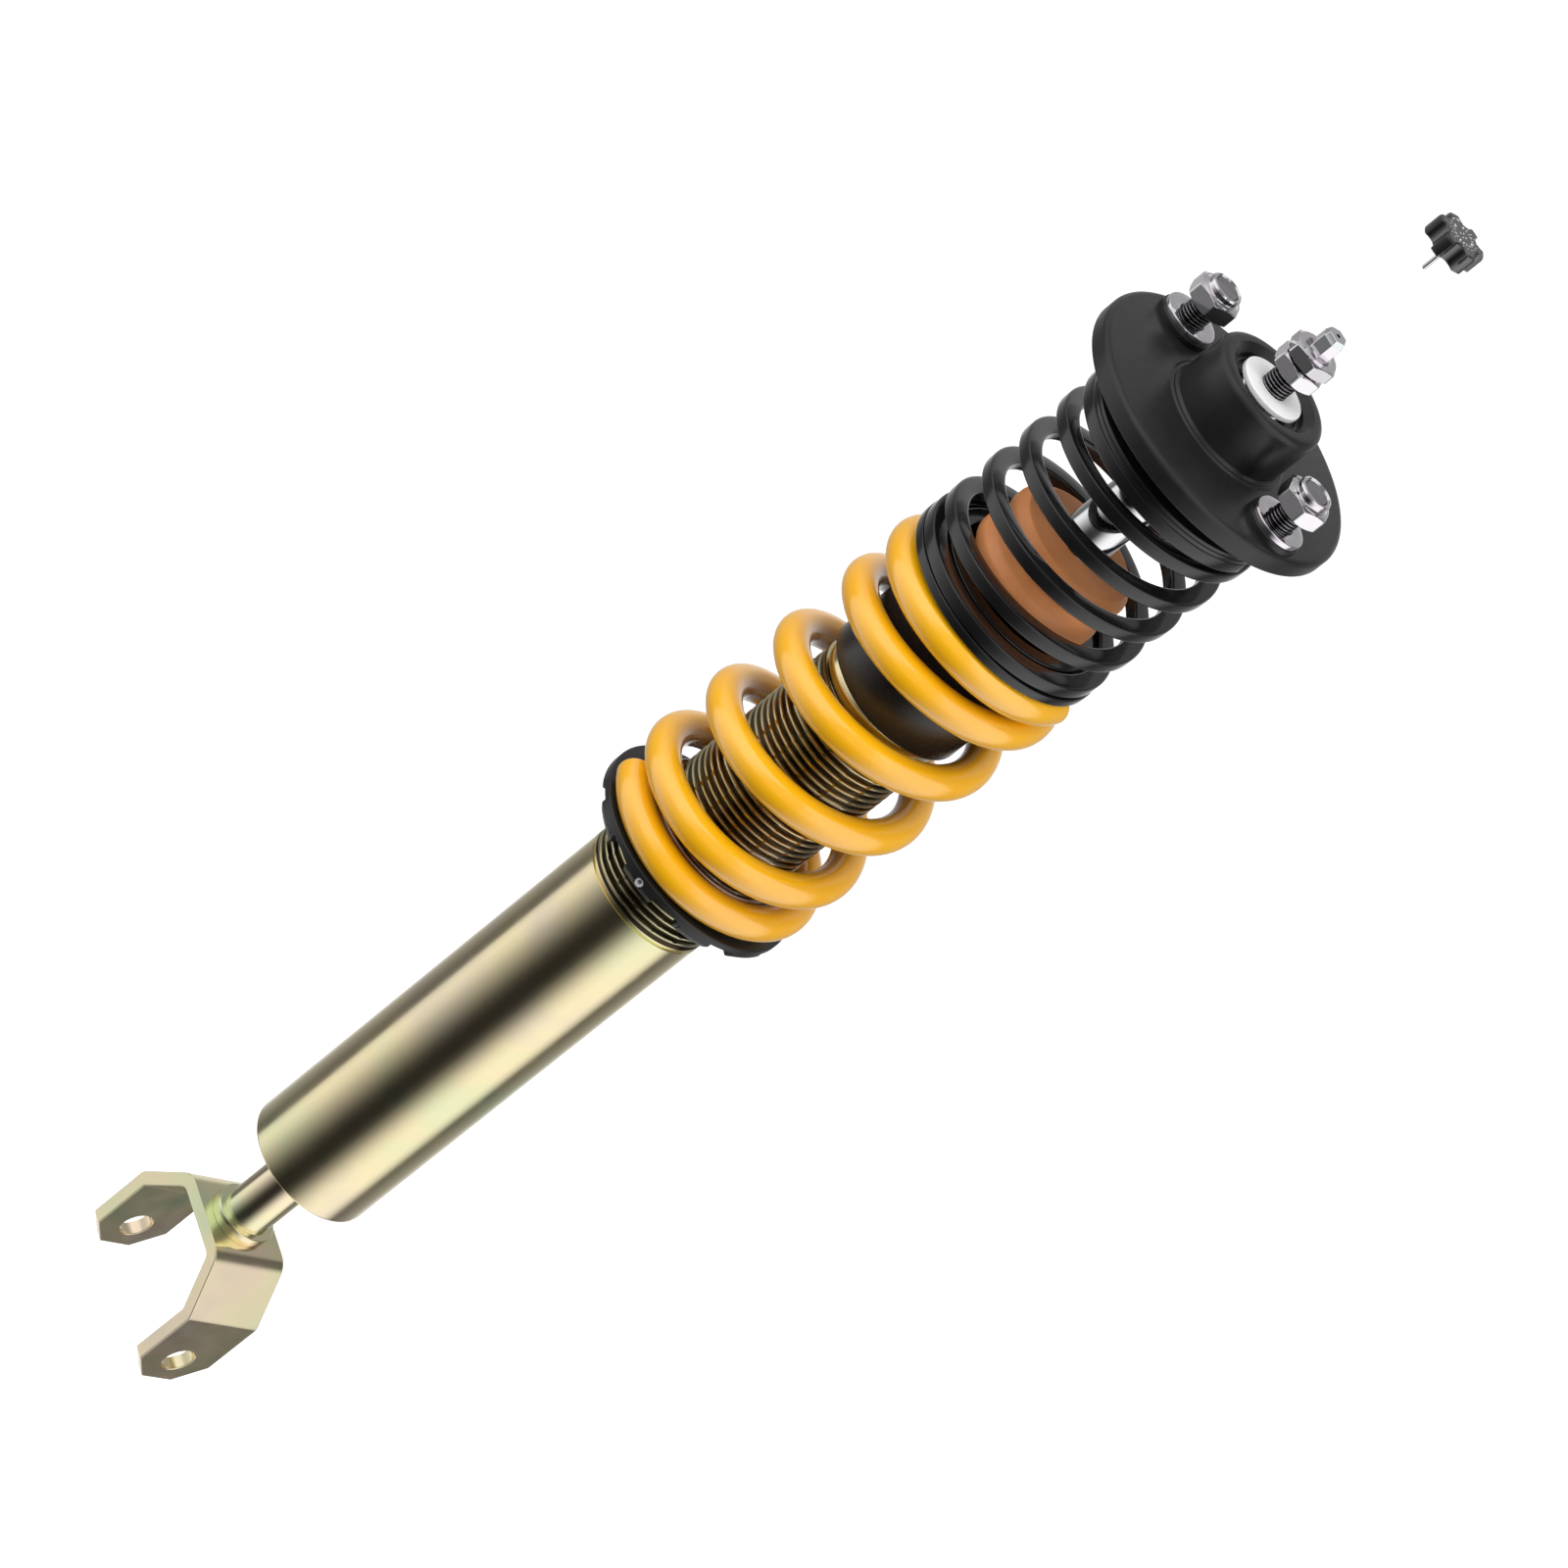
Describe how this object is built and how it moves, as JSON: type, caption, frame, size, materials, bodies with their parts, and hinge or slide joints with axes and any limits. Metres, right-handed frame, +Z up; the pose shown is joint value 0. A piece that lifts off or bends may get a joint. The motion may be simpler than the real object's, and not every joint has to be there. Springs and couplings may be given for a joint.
{
  "type": "coilover",
  "caption": "Height-adjustable coilover: damper in a threaded tube on a bolted fork, main and helper springs joined by a sleeved coupler, and a tilting round top mount.",
  "frame": {"origin": "centre of the fork's cross-bolt hole, midway between the two ears", "axes": "+Z up the damper axis towards the top mount, +X along the cross bolt and the line of the two studs"},
  "size_m": [0.1046, 0.1046, 0.6383],
  "materials": {
    "zinc_gold": "yellow-passivated zinc plate, satin, slightly iridescent",
    "steel_plain": "plain machined steel",
    "valve_brass": "machined brass",
    "alloy_plain": "machined aluminium",
    "seal_rubber": "nitrile rubber",
    "band_plastic": "filled PTFE",
    "black_alloy": "satin black anodised aluminium",
    "black_steel": "black oxide steel",
    "bright_alloy": "bright machined aluminium",
    "gold_spring": "glossy golden yellow powder coat",
    "black_sleeve": "satin black anodised tube",
    "black_spring": "glossy black powder coat",
    "rod_chrome": "hard chrome, polished",
    "foam": "orange-brown microcellular polyurethane",
    "bearing_steel": "ground bearing steel",
    "bright_steel": "bright turned steel",
    "zinc_bright": "bright zinc plate",
    "knob_black": "black anodised, marked in white"
  },
  "bodies": {
    "damper_body": {"fork": "zinc_gold", "stem": "zinc_gold", "outer_tube": "zinc_gold", "base_cap": "steel_plain", "inner_tube": "steel_plain", "foot_valve": "valve_brass", "rod_guide": "alloy_plain", "rod_seal": "seal_rubber", "gland_nut": "alloy_plain"},
    "perch": {"spring_locator": "bright_alloy", "main_spring": "gold_spring"},
    "collar": {"perch_collar": "black_alloy", "collar_screw": "black_steel"},
    "coupler": {"coupler_ring": "black_alloy", "guide_sleeve": "black_sleeve", "helper_spring": "black_spring"},
    "rod": {"piston_rod": "rod_chrome", "piston": "steel_plain", "piston_band": "band_plastic", "valve_shims": "steel_plain", "piston_nut": "steel_plain", "topout_ring": "seal_rubber", "bump_stop": "foam", "spring_seat": "black_alloy", "lower_spacer": "steel_plain", "bearing_ball": "bearing_steel", "top_spacer": "bright_steel", "rod_nut_lower": "zinc_bright", "rod_nut_upper": "zinc_bright"},
    "top_mount": {"mount_flange": "black_alloy", "bearing_race": "bearing_steel", "circlip": "black_steel", "mount_studs": "zinc_bright", "stud_washers": "zinc_bright", "stud_nuts": "zinc_bright"},
    "adjuster": {"adjuster_needle": "valve_brass"},
    "knob": {"knob": "knob_black", "knob_pin": "bright_steel"}
  },
  "joints": [
    {"name": "perch_height", "type": "slide", "parent": "damper_body", "child": "perch", "axis": [0, 0, 1], "range_m": [-0.01, 0.02]},
    {"name": "collar_spin", "type": "hinge", "parent": "perch", "child": "collar", "pos_m": [0, 0, 0.2826], "axis": [0, 0, 1], "range_deg": [-1201, 2401]},
    {"name": "main_travel", "type": "slide", "parent": "perch", "child": "coupler", "axis": [0, 0, -1], "range_m": [0, 0.018], "stiffness_N_per_m": 160000, "deforming": ["main_spring"]},
    {"name": "helper_travel", "type": "slide", "parent": "coupler", "child": "rod", "axis": [0, 0, -1], "range_m": [0, 0.03], "stiffness_N_per_m": 96000, "deforming": ["helper_spring"]},
    {"name": "mount_tilt", "type": "hinge", "parent": "rod", "child": "top_mount", "pos_m": [0, 0, 0.535], "axis": [1, 0, 0], "range_deg": [-3, 3]},
    {"name": "needle_turn", "type": "hinge", "parent": "rod", "child": "adjuster", "pos_m": [0, 0, 0.43], "axis": [0, 0, 1], "range_deg": [-1080, 0]},
    {"name": "knob_lift", "type": "slide", "parent": "adjuster", "child": "knob", "axis": [0, 0, 1], "range_m": [-0.0448, 0]}
  ],
  "couplings": [
    {"joint": "collar_spin", "follows": "perch_height", "rad_per_m": 2094.4},
    {"joint": "main_travel", "follows": "helper_travel", "ratio": 0.6}
  ]
}
